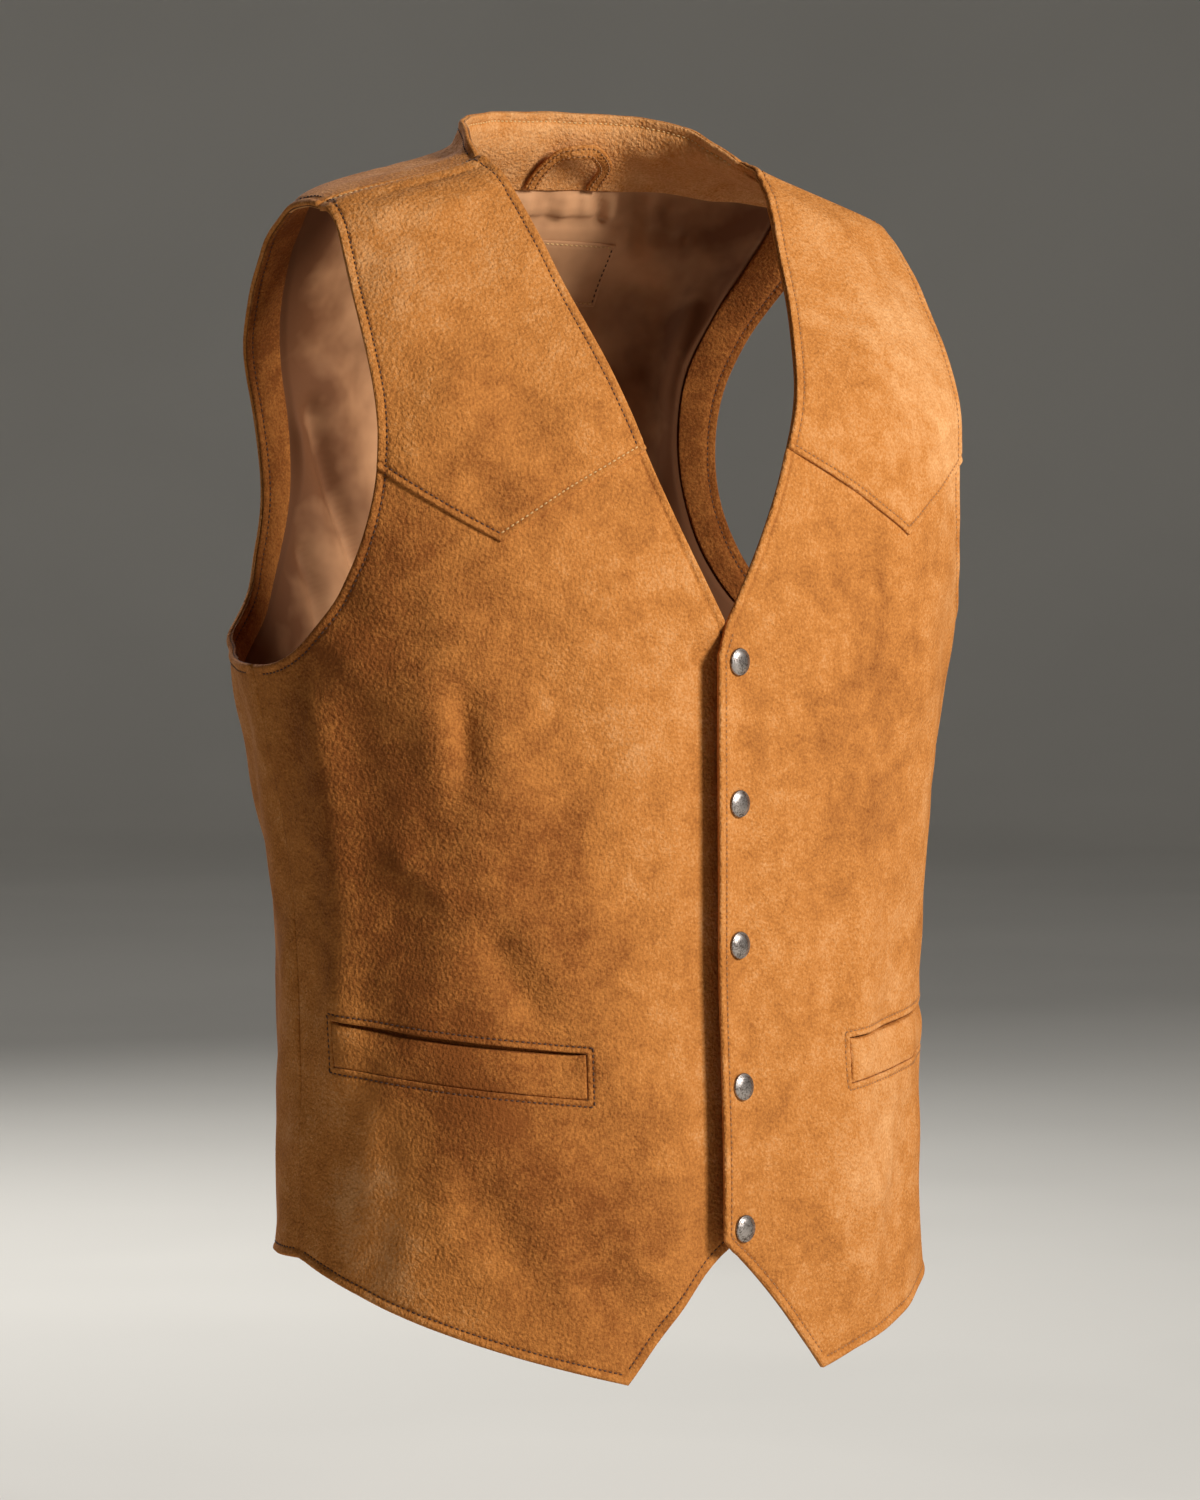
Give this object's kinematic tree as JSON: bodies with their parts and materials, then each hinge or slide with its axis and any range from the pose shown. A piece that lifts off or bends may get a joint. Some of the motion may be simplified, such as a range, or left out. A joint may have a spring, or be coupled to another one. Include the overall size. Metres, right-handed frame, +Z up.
{
  "type": "vest",
  "caption": "Hollow western-style suede vest, closed with snaps, with a V neck, pointed front yokes, welt pockets and pointed hem, filled out as when worn.",
  "frame": {"origin": "midway between the two points where the shoulder seams meet the neckline, where the vest rests on the wearer's shoulders", "axes": "+Z up, -Y out of the front, +X to the wearer's left"},
  "size_m": [0.4378, 0.2737, 0.6869],
  "materials": {
    "suede": "brushed faux suede with a short mottled nap, caramel tan",
    "lining": "smooth woven lining, beige",
    "antique_nickel": "antiqued nickel, domed and softly worn"
  },
  "bodies": {
    "root": {"front_right": "suede", "front_left": "suede", "front_yoke_right": "suede", "front_yoke_left": "suede", "pocket_welt_right": "suede", "pocket_welt_left": "suede", "back_panel": "suede", "back_lining": "lining", "back_neck_facing": "suede", "armhole_facing_right": "suede", "armhole_facing_left": "suede", "lining_patch": "lining", "hanger_loop": "suede", "snap_cap_1": "antique_nickel", "snap_cap_2": "antique_nickel", "snap_cap_3": "antique_nickel", "snap_cap_4": "antique_nickel", "snap_cap_5": "antique_nickel"}
  },
  "joints": []
}
